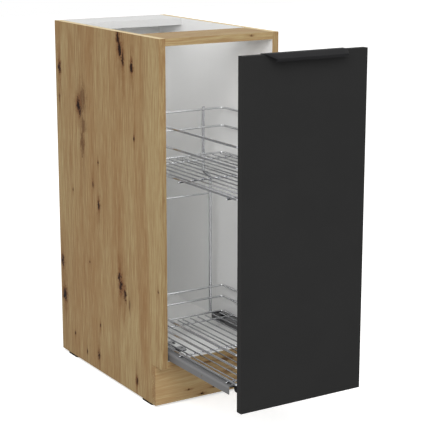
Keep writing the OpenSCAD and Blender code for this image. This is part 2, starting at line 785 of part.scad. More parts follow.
// Rivets that hold the brackets' ears under the carriers
module bracket_rivets() color("silver") pull_out() both_sides() translate([-rivet_x, rivet_y, 0]) {
    translate([0, 0, ear_z - rivet_head_h]) cylinder(h = rivet_head_h - fit, d = rivet_head_d);
    translate([0, 0, ear_z - fit - 0.5]) cylinder(h = carrier_top - ear_z + 2 * fit + 1, d = rivet_d);
    translate([0, 0, carrier_top + fit]) cylinder(h = rivet_head_h, d = rivet_head_d);
}

// Section of the left carrier: an upturned channel with lips along its lower edges
module carrier_section() difference() {
    round_rect([carrier_w, carrier_h], carrier_bend_r);
    translate([carrier_t, carrier_t]) round_rect([inner_w, inner_h], carrier_bend_r - carrier_t);
    translate([carrier_lip_w, -cut]) square([slot_w, carrier_h / 2]);
}

// Cutter that rounds a carrier's lower corner; its arc crosses both edges at a slight angle
module corner_cutter() rotate([90, 0, 90]) linear_extrude(carrier_w + 2 * cut) difference() {
    translate([-carrier_corner_r, -cut]) square(carrier_corner_r + cut);
    translate([-carrier_corner_r, carrier_corner_r]) circle(carrier_corner_r * 1.02);
}

module carrier() difference() {
    translate([-carrier_out_x, carrier_start + carrier_l, carrier_z])
        rotate([90, 0, 0]) linear_extrude(carrier_l) carrier_section();
    translate([-carrier_out_x + carrier_bend_r, carrier_start - cut, carrier_z - cut])
        cube([carrier_w, carrier_cutback + cut, carrier_h - carrier_t + cut]);
    translate([-carrier_out_x - cut, carrier_start + carrier_l, carrier_z]) corner_cutter();
    translate([-carrier_out_x - cut, carrier_start, carrier_z]) mirror([0, 1, 0]) corner_cutter();
    rod_x(-carrier_out_x - cut, carrier_hole_y, carrier_z + carrier_h * 0.45,
        carrier_t + 2 * cut, carrier_hole_d);
    translate([-rivet_x, rivet_y, carrier_top - carrier_t - cut])
        cylinder(h = carrier_t + 2 * cut, d = rivet_d + 2 * fit);
}

module left_carrier() color("darkgray") pull_out() on_left() carrier();

module right_carrier() color("darkgray") pull_out() on_right() carrier();

// Upright on the left at depth y, bent inwards between the baskets
module upright(y) translate([0, y, 0]) rotate([90, 0, 0]) bent_wire([
    [-upright_low_x, upright_foot_z], [-upright_low_x, joggle_start_z],
    [-upright_high_x, joggle_end_z], [-upright_high_x, upright_head_z]
], upright_d, joggle_r);

// Bar between the two uprights at depth y
module frame_bar(y) {
    reach = upright_low_x - upright_d / 2 - fit;
    rod_x(-reach, y, frame_bar_z, 2 * reach, frame_bar_d);
}

module rear_left_upright() color("silver") pull_out() on_left() upright(rear_upright_y);

module rear_right_upright() color("silver") pull_out() on_right() upright(rear_upright_y);

module rear_frame_bar() color("silver") pull_out() frame_bar(rear_upright_y);

module front_left_upright() color("silver") pull_out() on_left() upright(front_upright_y);

module front_right_upright() color("silver") pull_out() on_right() upright(front_upright_y);

module front_frame_bar() color("silver") pull_out() frame_bar(front_upright_y);

// Clamps that hold the front uprights to the back of the front
module frame_clamps() color("black") pull_out() both_sides() for (place = clamp_places())
    translate([-place.x, 0, place.y - clamp_h / 2]) difference() {
        union() {
            translate([-clamp_foot_w / 2, fit, 0]) cube([clamp_foot_w, clamp_t, clamp_h]);
            translate([-clamp_post_w / 2, fit, 0]) cube([clamp_post_w, front_upright_y - fit, clamp_h]);
            translate([0, front_upright_y, 0]) cylinder(h = clamp_h, d = clamp_post_w);
        }
        translate([0, front_upright_y, -cut]) cylinder(h = clamp_h + 2 * cut, d = upright_d + 2 * fit);
        for (x = [-clamp_screw_x, clamp_screw_x])
            rod_y(x, -cut, clamp_h / 2, clamp_t + 2 * cut, screw_d + 2 * fit);
    }

module clamp_screws() color("silver") pull_out() both_sides()
    clamp_screw_places() translate([0, 0, clamp_t + 2 * fit]) pan_screw();

// One closed rim of a basket
module rim(z) translate([0, 0, z]) bent_wire([
    [-rim_x, rim_front], [rim_x, rim_front], [rim_x, rim_rear], [-rim_x, rim_rear]
], rim_wire_d, rim_corner_r, closed = true);

// The three wires that run across under a base rim at height z
module cross_wires(z) {
    reach = rim_x + cross_wire_overhang;
    for (y = cross_wire_y) rod_x(-reach, y, z - cross_wire_drop, 2 * reach, cross_wire_d);
}

// The wires that run from front to back on the cross wires
module floor_wires(z) both_sides() for (x = floor_wire_x)
    rod_y(-x, rim_front + floor_wire_inset, z - floor_wire_drop,
        rim_rear - rim_front - 2 * floor_wire_inset, floor_wire_d);

module lower_base_rim() color("silver") pull_out() rim(lower_base_z);

module lower_middle_rim() color("silver") pull_out() rim(lower_base_z + lower_mid_rise);

module lower_top_rim() color("silver") pull_out() rim(lower_base_z + lower_top_rise);

module lower_cross_wires() color("silver") pull_out() cross_wires(lower_base_z);

module lower_floor_wires() color("silver") pull_out() floor_wires(lower_base_z);

module upper_base_rim() color("silver") pull_out() rim(upper_base_z);

module upper_middle_rim() color("silver") pull_out() rim(upper_base_z + upper_mid_rise);

module upper_top_rim() color("silver") pull_out() rim(upper_base_z + upper_top_rise);

module upper_cross_wires() color("silver") pull_out() cross_wires(upper_base_z);

module upper_floor_wires() color("silver") pull_out() floor_wires(upper_base_z);

left_side_panel();
right_side_panel();
bottom_panel();
plinth_board();
front_rail();
rear_rail();
back_panel();
glides();
dowels();
cam_locks();
cam_bolts();
left_runner();
right_runner();
runner_screws();
roller_axles();
floor_catch();
catch_screws();
left_roller_1();
left_roller_2();
left_roller_3();
left_roller_4();
right_roller_1();
right_roller_2();
right_roller_3();
right_roller_4();
front_panel();
front_bumpers();
edge_handle();
handle_screws();
left_front_bracket();
right_front_bracket();
bracket_screws();
bracket_rivets();
left_carrier();
right_carrier();
rear_left_upright();
rear_right_upright();
rear_frame_bar();
front_left_upright();
front_right_upright();
front_frame_bar();
frame_clamps();
clamp_screws();
lower_base_rim();
lower_middle_rim();
lower_top_rim();
lower_cross_wires();
lower_floor_wires();
upper_base_rim();
upper_middle_rim();
upper_top_rim();
upper_cross_wires();
upper_floor_wires();
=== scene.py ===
"""Looks of the pull-out base cabinet: finishes, pressed and welded details, studio and camera.

Lengths are metres in the frame of the solids: X runs across, Y from front to back, Z up, with the
middle of the footprint at the origin. Colours are written as sRGB, 0 to 255, and turned into the
linear values that the shaders take.
"""

import json
import math

import bmesh
import bpy
from mathutils import Matrix, Vector


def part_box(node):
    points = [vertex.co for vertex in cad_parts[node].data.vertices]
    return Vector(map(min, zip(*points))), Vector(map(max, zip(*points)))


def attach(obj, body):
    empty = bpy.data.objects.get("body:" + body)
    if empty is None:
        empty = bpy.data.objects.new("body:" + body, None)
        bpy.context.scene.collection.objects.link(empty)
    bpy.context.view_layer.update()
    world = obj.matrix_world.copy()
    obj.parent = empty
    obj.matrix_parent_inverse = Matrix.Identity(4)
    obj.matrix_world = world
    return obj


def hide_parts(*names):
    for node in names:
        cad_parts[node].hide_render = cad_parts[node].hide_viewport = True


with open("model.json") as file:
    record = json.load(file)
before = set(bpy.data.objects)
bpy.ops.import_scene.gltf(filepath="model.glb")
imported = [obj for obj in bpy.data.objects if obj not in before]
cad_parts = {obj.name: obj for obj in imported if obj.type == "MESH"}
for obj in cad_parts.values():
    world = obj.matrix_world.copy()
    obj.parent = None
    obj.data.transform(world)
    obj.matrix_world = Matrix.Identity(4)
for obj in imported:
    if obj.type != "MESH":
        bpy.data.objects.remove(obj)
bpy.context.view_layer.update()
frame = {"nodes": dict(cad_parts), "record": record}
nodes = frame["nodes"]

# Places where the finishes change
PANEL_INNER_X = -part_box("left_side_panel")[1][0]
CARCASS_FRONT_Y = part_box("left_side_panel")[0][1]
CARCASS_REAR_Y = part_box("left_side_panel")[1][1]
PANEL_TOP_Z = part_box("left_side_panel")[1][2]
FLOOR_TOP_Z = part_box("bottom_panel")[1][2]
CARRIER_TOP_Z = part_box("left_carrier")[1][2]
# How far inside a board's face its finish still counts, and the same for the back panel's raw rear
EDGE_SKIN = 0.0003
RAW_SKIN = 0.0024
# Height of the floor catch's foot, which is painted in shade, and how far below a carrier's top
# the painted highlight at its bend starts and ends
CATCH_FOOT = 0.0017
CARRIER_HIGHLIGHT_BAND = (0.0065, 0.0035)

# Names that the wire pieces share
BASKETS = ("lower_", "upper_")
RIMS = ("base_rim", "middle_rim", "top_rim")
ENDS = ("rear_", "front_")
SIDES = ("left_", "right_")

# Tones of the finishes. A CLOUD tone lies in soft clouds over the tone above it
OAK_PALE = (170, 155, 116)
OAK_LIGHT = (161, 142, 104)
OAK_WARM = (145, 117, 81)
OAK_DARK = (127, 93, 60)
OAK_STAIN = (108, 68, 36)
OAK_RIM = (88, 46, 20)
OAK_KNOT = (22, 8, 3)
# Painted light: lighter oak on faces that look forwards or up, and on the side panels' top edges
OAK_PAINTED_LIGHT = (222, 194, 146)
OAK_PAINTED_LIGHT_TOP = (218, 200, 160)
WHITE = (240, 240, 239)
# Painted shade: the rear rail is the same white melamine, made darker because its top is lit more than
# the inside of the carcass
RAIL_WHITE_PAINTED_SHADE = (207, 207, 206)
CATCH_GREY = (170, 171, 173)
# Painted shade on the floor catch: near black on its foot and on faces that look left
CATCH_PAINTED_SHADE = (28, 28, 30)
RAW_BOARD = (150, 116, 84)
RAW_BOARD_DARK = (118, 88, 62)
FRONT_BLACK = (35, 35, 35)
FRONT_CLOUD = (34, 34, 34)
SHEET_BLACK = (29, 29, 30)
SHEET_CLOUD = (26, 26, 27)
PLASTIC_BLACK = (24, 24, 25)
PLASTIC_CLOUD = (28, 28, 29)
GLIDE_BLACK = (8, 8, 8)
GLIDE_CLOUD = (12, 12, 12)
RUNNER_GREY = (70, 70, 72)
RUNNER_CLOUD = (62, 62, 64)
CARRIER_GREY = (118, 118, 119)
# Painted shade on the carriers' upright walls, and a painted highlight in a band at their bend
CARRIER_WALL_PAINTED_SHADE = (91, 91, 92)
CARRIER_BEND_PAINTED_HIGHLIGHT = (108, 108, 109)
CHROME = (200, 201, 204)
# Painted reflections: chrome lighter where it lies in the white carcass, and a darker chrome for the
# floor wires
CHROME_INSIDE_PAINTED_REFLECTION = (230, 231, 233)
CHROME_POST_PAINTED_REFLECTION = (208, 209, 212)
CHROME_FLOOR_PAINTED_REFLECTION = (166, 167, 171)
CHROME_FLOOR_INSIDE_PAINTED_REFLECTION = (194, 195, 198)
# Painted shade under the wires and on the rims' outward faces in front of the carcass; it also tints the
# chrome's soft clouds
CHROME_PAINTED_SHADE_AND_CLOUD = (64, 65, 69)
CHROME_RIM_PAINTED_SHADE = (104, 105, 108)
ZINC = (176, 178, 181)
RUBBER_PALE = (214, 212, 206)
RUBBER_CLOUD = (205, 203, 196)
BEECH = (214, 178, 132)
BEECH_CLOUD = (196, 158, 112)
FLOOR_WHITE = (236, 236, 235)


def linear(colour):
    """RGBA that a shader takes, from an sRGB colour of 0 to 255."""
    def one(v):
        v /= 255
        return v / 12.92 if v <= 0.04045 else ((v + 0.055) / 1.055) ** 2.4
    return (*(one(v) for v in colour), 1.0)


class Tree:
    """A node tree, with short calls for the nodes that the finishes and the studio share."""

    def __init__(self, tree):
        self.tree = tree

    def node(self, kind, inputs=None, **settings):
        made = self.tree.nodes.new(kind)
        for key, value in settings.items():
            setattr(made, key, value)
        for key, value in (inputs or {}).items():
            self.feed(made.inputs[key], value)
        return made

    def feed(self, socket, value):
        if isinstance(value, bpy.types.NodeSocket):
            self.tree.links.new(value, socket)
        else:
            socket.default_value = value

    def math(self, operation, a, b=0.0):
        return self.node("ShaderNodeMath", {0: a, 1: b}, operation=operation).outputs[0]

    def product(self, first, *others):
        for other in others:
            first = self.math("MULTIPLY", first, other)
        return first

    def vector(self, operation, a, b=(0, 0, 0)):
        made = self.node("ShaderNodeVectorMath", {0: a, 1: b}, operation=operation)
        return made.outputs["Value" if operation in ("LENGTH", "DOT_PRODUCT") else "Vector"]

    def split(self, vector):
        return self.node("ShaderNodeSeparateXYZ", {0: vector}).outputs

    def join(self, x, y, z):
        return self.node("ShaderNodeCombineXYZ", {0: x, 1: y, 2: z}).outputs[0]

    def noise(self, place, scale, detail, roughness=0.5, output="Fac"):
        inputs = {"Vector": place, "Scale": scale, "Detail": detail, "Roughness": roughness}
        return self.node("ShaderNodeTexNoise", inputs).outputs[output]

    def drawn_out(self, place, share, scale, detail, roughness=0.5):
        """Noise whose blotches are stretched along the grain, the more the smaller the share is."""
        return self.noise(self.vector("MULTIPLY", place, (1.0, 1.0, share)), scale, detail, roughness)

    def smooth(self, value, low, high, to_low=0.0, to_high=1.0):
        made = self.node("ShaderNodeMapRange", {0: value, 1: low, 2: high, 3: to_low, 4: to_high},
                         interpolation_type="SMOOTHSTEP")
        return made.outputs[0]

    def mix(self, factor, a, b):
        a, b = (linear(value) if isinstance(value, tuple) else value for value in (a, b))
        return self.node("ShaderNodeMix", {0: factor, 6: a, 7: b}, data_type="RGBA").outputs[2]


class Finish(Tree):
    """One material. Its patterns hang on the place of each point of the object at rest."""

    def __init__(self, name, roughness, metallic=0.0, specular=0.5):
        self.material = bpy.data.materials.new(name)
        self.material.use_nodes = True
        super().__init__(self.material.node_tree)
        self.shader = self.tree.nodes["Principled BSDF"]
        self.shader.inputs["Roughness"].default_value = roughness
        self.shader.inputs["Metallic"].default_value = metallic
        self.shader.inputs["Specular IOR Level"].default_value = specular
        self.place = self.node("ShaderNodeTexCoord").outputs["Object"]

    def looks(self, full, none, axis=0):
        """1 on faces whose normal lies at full or past it along an axis, 0 on those short of none."""
        normal = self.split(self.node("ShaderNodeTexCoord").outputs["Normal"])[axis]
        if full > none:
            return self.smooth(normal, none, full)
        return self.smooth(normal, full, none, 1.0, 0.0)

    def colour(self, value):
        self.feed(self.shader.inputs["Base Color"], linear(value) if isinstance(value, tuple) else value)

    def roughness(self, value):
        self.feed(self.shader.inputs["Roughness"], value)

    def bump(self, height, distance):
        made = self.node("ShaderNodeBump", {"Height": height, "Distance": distance, "Strength": 1.0})
        self.feed(self.shader.inputs["Normal"], made.outputs[0])


# How pointed a knot is along the grain, 0 for an ellipse and 1 for a diamond
KNOT_POINT = 0.45
# Share of a knot's distance that its stain counts, across and along
STAIN_SHARE = (0.42, 0.0, 0.13)
# Scale of the noise that a knot's outline strays by, and how far it strays across and along
STRAY = ((75.0, (0.020, 0.0, 0.034)), (300.0, (0.011, 0.0, 0.022)))
# Half width up to which a knot keeps a calm outline, and the share of the straying that it keeps
SMALL_KNOT = 0.0045
CALM_SHARE = 0.25


def knot_group():
    """Distance to one knot in its own widths, pointed along the grain, and to its long stain."""
    group = bpy.data.node_groups.new("knot_distance", "ShaderNodeTree")
    for name in ("Place", "Heart", "Per Size"):
        group.interface.new_socket(name, in_out="INPUT", socket_type="NodeSocketVector")
    for name in ("Distance", "Stain"):
        group.interface.new_socket(name, in_out="OUTPUT", socket_type="NodeSocketFloat")
    tree = Tree(group)
    start = tree.node("NodeGroupInput").outputs
    scaled = tree.vector("SUBTRACT", start["Place"], start["Heart"])
    scaled = tree.vector("MULTIPLY", scaled, start["Per Size"])
    round_way = tree.vector("LENGTH", scaled)
    pointed_way = tree.vector("DOT_PRODUCT", tree.vector("ABSOLUTE", scaled), (1.0, 1.0, 1.0))
    distance = tree.node("ShaderNodeMix", {0: KNOT_POINT, 2: round_way, 3: pointed_way}).outputs[0]
    stain = tree.vector("LENGTH", tree.vector("MULTIPLY", scaled, STAIN_SHARE))
    tree.node("NodeGroupOutput", {"Distance": distance, "Stain": stain})
    return group


KNOT = knot_group()


def knot_marks(f, flat, knots, upright):
    """Pull on the grain, core, dark rim and stain of all knots of a board, each 0 away from them."""
    ragged = calm = flat
    for scale, reach in STRAY:
        wobble = f.vector("SUBTRACT", f.noise(flat, scale, 3.0, 0.6, "Color"), (0.5, 0.5, 0.5))
        ragged = f.vector("ADD", ragged, f.vector("MULTIPLY", wobble, reach))
        calm_reach = tuple(CALM_SHARE * r for r in reach)
        calm = f.vector("ADD", calm, f.vector("MULTIPLY", wobble, calm_reach))
    flames = f.smooth(f.drawn_out(flat, 0.16, 230.0, 2.0, 0.6), 0.25, 0.75, -0.55, 0.55)
    pull, core, rim, stain = 0.0, 0.0, 0.0, 0.0
    for heart_across, heart_along, half_width, half_length, dark in knots:
        outline = ragged if upright and half_width > SMALL_KNOT else calm
        knot = f.node("ShaderNodeGroup", {"Place": outline}, node_tree=KNOT)
        knot.inputs["Heart"].default_value = (heart_across, 0.0, heart_along)
        knot.inputs["Per Size"].default_value = (1 / half_width, 0.0, 1 / half_length)
        away = knot.outputs["Distance"]
        core = f.math("MAXIMUM", core, f.smooth(f.math("ADD", away, flames), 0.78, 1.04, dark, 0.0))
        rim = f.math("MAXIMUM", rim, f.smooth(away, 0.7, 2.6, dark, 0.0))
        pull = f.math("ADD", pull, f.smooth(away, 0.0, 5.0, 1.2 * dark, 0.0))
        stain = f.math("MAXIMUM", stain, f.smooth(knot.outputs["Stain"], 0.1, 1.0, dark, 0.0))
    return pull, core, rim, stain


def oak(name, grain, knots=(), shift=0.0, painted_light=0.0, painted_light_top=0.0, white_inside=False,
        front_edge_only=False):
    """Knotty oak laminate. grain is the axis that the grain follows, "x" or "z".

    Each knot is (across, along, half width, half length, darkness) in metres, across being Y on an
    upright board and Z on a lying one. shift moves the pattern across the grain, so that boards
    differ. The next two paint light on the oak, as shares: on faces that look forwards or up, and on
    the top edge. The last two turn the inner face white, or all of the board but its front edge.
    """
    upright = grain == "z"
    broad_scale, band_scale, band_share = (11.0, 62.0, 0.62) if upright else (26.0, 105.0, 0.42)
    f = Finish(name, roughness=0.55, specular=0.03)
    x, y, z = f.split(f.place)
    across, depth, along = (y, x, z) if upright else (z, y, x)
    flat = f.join(across, 0.0, along)

    # Soft bands of light and warm wood that bend a little, with fine fibres and short pores
    sway = f.math("MULTIPLY", f.drawn_out(flat, 0.5, 6.0, 2.0), 0.030)
    place = f.join(f.math("ADD", sway, f.math("ADD", across, shift)), depth, along)
    broad = f.drawn_out(place, 0.09, broad_scale, 3.0, 0.6)
    bands = f.drawn_out(place, 0.048, band_scale, 5.0, 0.72)
    fibres = f.drawn_out(place, 0.036, 420.0, 3.0, 0.65)
    pores = f.smooth(f.drawn_out(place, 0.04, 1100.0, 1.0), 0.60, 0.74)
    colour = f.mix(f.smooth(broad, 0.38, 0.66), OAK_LIGHT, OAK_WARM)
    colour = f.mix(f.smooth(bands, 0.42, 0.70, 0.0, band_share), colour, OAK_DARK)
    colour = f.mix(f.smooth(fibres, 0.38, 0.66, 0.0, 0.50), colour, OAK_DARK)
    colour = f.mix(f.smooth(fibres, 0.3, 0.5, 0.45, 0.0), colour, OAK_PALE)
    colour = f.mix(f.product(pores, 0.35), colour, OAK_STAIN)
    # Painted light on faces that look forwards or up
    if painted_light:
        lit = f.math("MAXIMUM", f.looks(-0.9, -0.5, 1), f.looks(0.9, 0.5, 2))
        colour = f.mix(f.product(lit, painted_light), colour, OAK_PAINTED_LIGHT)

    # Stains, rings that the grain draws round the knots, dark rims and nearly black, flecked cores
    if knots:
        pull, core, rim, stain = knot_marks(f, flat, knots, upright)
        rings = f.math("ADD", pull, f.math("MULTIPLY", bands, 1.5))
        rings = f.smooth(f.math("SINE", f.math("MULTIPLY", rings, 30.0)), -0.2, 1.0)
        streaky = f.smooth(fibres, 0.30, 0.62, 0.25, 1.0)
        colour = f.mix(f.product(stain, streaky, 0.70), colour, OAK_STAIN)
        colour = f.mix(f.product(rings, rim, 0.80), colour, OAK_RIM)
        colour = f.mix(f.product(f.math("POWER", rim, 2.0), 0.60), colour, OAK_RIM)
        flecks = f.drawn_out(flat, 0.35, 330.0, 2.0, 0.6)
        core = f.product(core, f.smooth(flecks, 0.30, 0.42, 0.70, 1.0))
        colour = f.mix(f.product(core, 0.9), colour, OAK_RIM)
        colour = f.mix(f.math("POWER", core, 1.7), colour, OAK_KNOT)

    # Painted light on the top edge
    if painted_light_top:
        top = f.math("GREATER_THAN", z, PANEL_TOP_Z - EDGE_SKIN)
        colour = f.mix(f.product(top, f.looks(0.6, 0.4, 2), painted_light_top), colour, OAK_PAINTED_LIGHT_TOP)
    if white_inside:
        inner = f.math("LESS_THAN", f.math("ABSOLUTE", x), PANEL_INNER_X + EDGE_SKIN)
        sideways = f.math("MAXIMUM", f.looks(0.6, 0.4), f.looks(-0.6, -0.4))
        colour = f.mix(f.product(inner, sideways), colour, WHITE)
    if front_edge_only:
        edge = f.math("LESS_THAN", y, CARCASS_FRONT_Y + EDGE_SKIN)
        colour = f.mix(f.product(edge, f.looks(-0.6, -0.4, 1)), WHITE, colour)
    f.colour(colour)
    f.roughness(f.smooth(fibres, 0.3, 0.7, 0.46, 0.56))
    f.bump(f.math("SUBTRACT", 1.0, pores), 0.00005)
    return f.material


def white_board(name, white=WHITE, raw_rear=False):
    """White melamine: a faint pearl in the surface, and raw fibreboard on the back panel's rear."""
    f = Finish(name, roughness=0.5, specular=0.2)
    pearl = f.noise(f.place, 1400.0, 2.0)
    colour = f.mix(f.smooth(pearl, 0.3, 0.7), white, tuple(v - 4 for v in white))
    if raw_rear:
        y = f.split(f.place)[1]
        fibres = f.noise(f.place, 700.0, 4.0, 0.7)
        raw = f.mix(f.smooth(fibres, 0.35, 0.65), RAW_BOARD, RAW_BOARD_DARK)
        rear = f.math("GREATER_THAN", y, CARCASS_REAR_Y - RAW_SKIN)
        colour = f.mix(rear, colour, raw)
    f.colour(colour)
    f.bump(pearl, 0.00002)
    return f.material


def painted(name, colour, cloud_colour, roughness, grain_scale, grain_height, specular):
    """Matt lacquer, powder coat, moulded plastic or plain wood: a fine grain in height and gloss."""
    f = Finish(name, roughness, specular=specular)
    grain = f.noise(f.place, grain_scale, 3.0, 0.6)
    cloud = f.noise(f.place, 14.0, 2.0)
    f.colour(f.mix(f.smooth(cloud, 0.3, 0.7), colour, cloud_colour))
    f.roughness(f.smooth(grain, 0.3, 0.7, roughness - 0.04, roughness + 0.05))
    f.bump(grain, grain_height)
    return f.material


def plated(name, colour, roughness, inside=None, under=0.0, rim=False):
    """Bright or zinc plated metal.

    A wire takes a painted reflection, the tone given for inside, where it lies in the white carcass,
    and painted shade underneath by a share. A rim also has painted shade on the faces of its sides
    that look outwards in front of the carcass.
    """
    f = Finish(name, roughness, metallic=1.0)
    x, y, _ = f.split(f.place)
    grain = f.noise(f.place, 400.0, 3.0, 0.6)
    cloud = f.noise(f.place, 25.0, 2.0)
    plating_and_painted_light = colour
    # Painted reflection of the white carcass inside it, and painted shade on the undersides
    if inside:
        plating_and_painted_light = f.mix(f.smooth(y, CARCASS_FRONT_Y - 0.03, CARCASS_FRONT_Y + 0.03), colour, inside)
        plating_and_painted_light = f.mix(f.product(f.looks(-0.5, -0.05, 2), under), plating_and_painted_light, CHROME_PAINTED_SHADE_AND_CLOUD)
    # Painted shade on a rim's outward faces in front of the carcass
    if rim:
        left = f.math("LESS_THAN", x, 0.0)
        right = f.math("SUBTRACT", 1.0, left)
        outward = f.math("ADD", f.product(left, f.looks(-0.85, -0.35)),
                         f.product(right, f.looks(0.85, 0.35)))
        outside = f.smooth(y, CARCASS_FRONT_Y - 0.07, CARCASS_FRONT_Y - 0.015, 1.0, 0.0)
        endways = f.math("MAXIMUM", f.looks(0.5, 0.1, 1), f.looks(-0.5, -0.1, 1))
        painted_rim_shade_mask = f.product(outward, outside, f.math("SUBTRACT", 1.0, endways))
        plating_and_painted_light = f.mix(painted_rim_shade_mask, plating_and_painted_light, CHROME_RIM_PAINTED_SHADE)
    f.colour(f.mix(f.smooth(cloud, 0.3, 0.7, 0.0, 0.12), plating_and_painted_light, CHROME_PAINTED_SHADE_AND_CLOUD))
    f.roughness(f.smooth(grain, 0.3, 0.7, roughness * 0.8, roughness * 1.25))
    f.bump(grain, 0.000006)
    return f.material


def carrier_coat():
    """Satin grey carrier coat: painted shade on the upright walls, a painted highlight band at the bend.
    """
    f = Finish("carrier_coat", roughness=0.42, specular=0.2)
    z = f.split(f.place)[2]
    grain = f.noise(f.place, 1800.0, 3.0, 0.6)
    low, high = (CARRIER_TOP_Z - drop for drop in CARRIER_HIGHLIGHT_BAND)
    # Painted shade on the upright walls, rising to a painted highlight at the bend
    painted_wall_shade = f.mix(f.smooth(z, low, high), CARRIER_WALL_PAINTED_SHADE, CARRIER_BEND_PAINTED_HIGHLIGHT)
    f.colour(f.mix(f.looks(0.9, 0.5, 2), painted_wall_shade, CARRIER_GREY))
    f.roughness(f.smooth(grain, 0.3, 0.7, 0.38, 0.47))
    f.bump(grain, 0.00001)
    return f.material


def catch_zinc():
    """Dull zinc of the floor catch, with painted shade, near black, on its foot and left-facing faces.
    """
    f = Finish("catch_zinc", roughness=0.4, specular=0.3)
    z = f.split(f.place)[2]
    grain = f.noise(f.place, 1500.0, 2.0)
    zinc_tone = f.mix(f.smooth(grain, 0.3, 0.7), CATCH_GREY, tuple(v - 10 for v in CATCH_GREY))
    # Painted shade on the foot and on faces that look left
    catch_painted_shade = f.math("MAXIMUM", f.math("LESS_THAN", z, FLOOR_TOP_Z + CATCH_FOOT), f.looks(-0.9, -0.5))
    f.colour(f.mix(catch_painted_shade, zinc_tone, CATCH_PAINTED_SHADE))
    f.bump(grain, 0.00001)
    return f.material


# Knots of the side panels: place from front to back, height, half width, half length, darkness
LEFT_KNOTS = [
    (0.102, 0.806, 0.007, 0.013, 0.95), (0.094, 0.786, 0.007, 0.016, 1.0),
    (0.080, 0.762, 0.005, 0.016, 0.9), (0.040, 0.750, 0.006, 0.012, 1.0),
    (0.301, 0.634, 0.012, 0.014, 1.0), (0.296, 0.618, 0.005, 0.012, 0.75),
    (0.280, 0.648, 0.016, 0.030, 0.40), (0.281, 0.588, 0.012, 0.024, 0.40),
    (0.286, 0.545, 0.011, 0.030, 0.42), (0.400, 0.711, 0.006, 0.014, 1.0),
    (0.405, 0.640, 0.004, 0.012, 0.5), (0.110, 0.262, 0.006, 0.012, 0.95),
    (0.104, 0.245, 0.0095, 0.014, 1.0), (0.086, 0.228, 0.006, 0.014, 0.95),
    (0.064, 0.208, 0.004, 0.016, 0.45), (0.208, 0.411, 0.0055, 0.010, 1.0),
    (0.208, 0.512, 0.0025, 0.004, 0.9), (0.033, 0.594, 0.003, 0.0055, 0.9),
    (0.236, 0.456, 0.004, 0.009, 0.6), (0.342, 0.424, 0.0022, 0.0035, 0.8),
    (0.408, 0.232, 0.006, 0.014, 0.95), (0.400, 0.150, 0.009, 0.018, 1.0),
    (0.211, 0.119, 0.003, 0.0045, 0.8), (0.348, 0.062, 0.003, 0.004, 0.8),
    (0.034, 0.038, 0.0045, 0.009, 1.0), (0.222, 0.042, 0.005, 0.009, 0.9),
    (0.284, 0.034, 0.0025, 0.007, 0.8), (0.260, 0.264, 0.0025, 0.003, 0.7),
    (-0.068, 0.271, 0.003, 0.004, 0.6),
]
RIGHT_KNOTS = [
    (-0.020, 0.655, 0.006, 0.016, 1.0), (0.145, 0.715, 0.009, 0.020, 1.0),
    (0.151, 0.690, 0.005, 0.013, 0.9), (0.330, 0.560, 0.008, 0.018, 0.95),
    (0.070, 0.480, 0.004, 0.007, 0.8), (0.260, 0.385, 0.006, 0.011, 1.0),
    (0.035, 0.300, 0.010, 0.020, 1.0), (0.043, 0.276, 0.005, 0.014, 0.9),
    (0.385, 0.250, 0.004, 0.009, 0.9), (0.180, 0.180, 0.005, 0.009, 0.85),
    (0.300, 0.110, 0.007, 0.015, 1.0), (0.090, 0.070, 0.003, 0.006, 0.8),
    (0.215, 0.785, 0.004, 0.008, 0.9), (0.395, 0.760, 0.003, 0.006, 0.7),
    (0.120, 0.575, 0.003, 0.004, 0.7),
]
# Knots of the plinth and the front rail: height, place across, half height, half length, darkness
PLINTH_KNOTS = [
    (0.0265, -0.064, 0.0018, 0.0024, 1.0), (0.0105, -0.029, 0.0024, 0.0036, 0.9),
    (0.021, 0.002, 0.0018, 0.003, 0.9), (0.082, 0.036, 0.005, 0.020, 0.48),
    (0.084, -0.014, 0.003, 0.013, 0.42), (0.051, 0.040, 0.005, 0.014, 0.34),
    (0.066, 0.086, 0.004, 0.008, 0.9), (0.040, 0.118, 0.002, 0.004, 0.7),
]
RAIL_KNOTS = [(0.815, 0.080, 0.0022, 0.005, 0.6)]

finishes = {
    "left_side_panel": oak("oak_left", "z", LEFT_KNOTS, painted_light_top=0.8, white_inside=True),
    "right_side_panel": oak("oak_right", "z", RIGHT_KNOTS, shift=0.37, painted_light_top=0.8, white_inside=True),
    "plinth_board": oak("oak_plinth", "x", PLINTH_KNOTS, shift=0.11, painted_light=0.20),
    "front_rail": oak("oak_rail", "x", RAIL_KNOTS, shift=0.73, painted_light=0.06),
    "bottom_panel": oak("white_floor_oak_edge", "x", shift=0.52, front_edge_only=True),
    # The rear rail's white is painted darker, as shade
    "rear_rail": white_board("white_rail", RAIL_WHITE_PAINTED_SHADE),
    "back_panel": white_board("white_back", raw_rear=True),
}

# Tone, cloud tone, roughness, scale and height of the grain, and specular level
PAINTED = {
    "matt_black_front": (FRONT_BLACK, FRONT_CLOUD, 0.6, 1600.0, 0.00002, 0.05),
    "black_powder_coat": (SHEET_BLACK, SHEET_CLOUD, 0.55, 2400.0, 0.00003, 0.04),
    "black_plastic": (PLASTIC_BLACK, PLASTIC_CLOUD, 0.45, 1200.0, 0.00003, 0.15),
    "runner_grey": (RUNNER_GREY, RUNNER_CLOUD, 0.45, 900.0, 0.00003, 0.4),
    "glide_black": (GLIDE_BLACK, GLIDE_CLOUD, 0.6, 1200.0, 0.00003, 0.02),
    "pale_rubber": (RUBBER_PALE, RUBBER_CLOUD, 0.6, 600.0, 0.00003, 0.4),
    "beech_dowel": (BEECH, BEECH_CLOUD, 0.6, 500.0, 0.00005, 0.4),
}
coats = {name: painted(name, *values) for name, values in PAINTED.items()}
black_sheet = coats["black_powder_coat"]
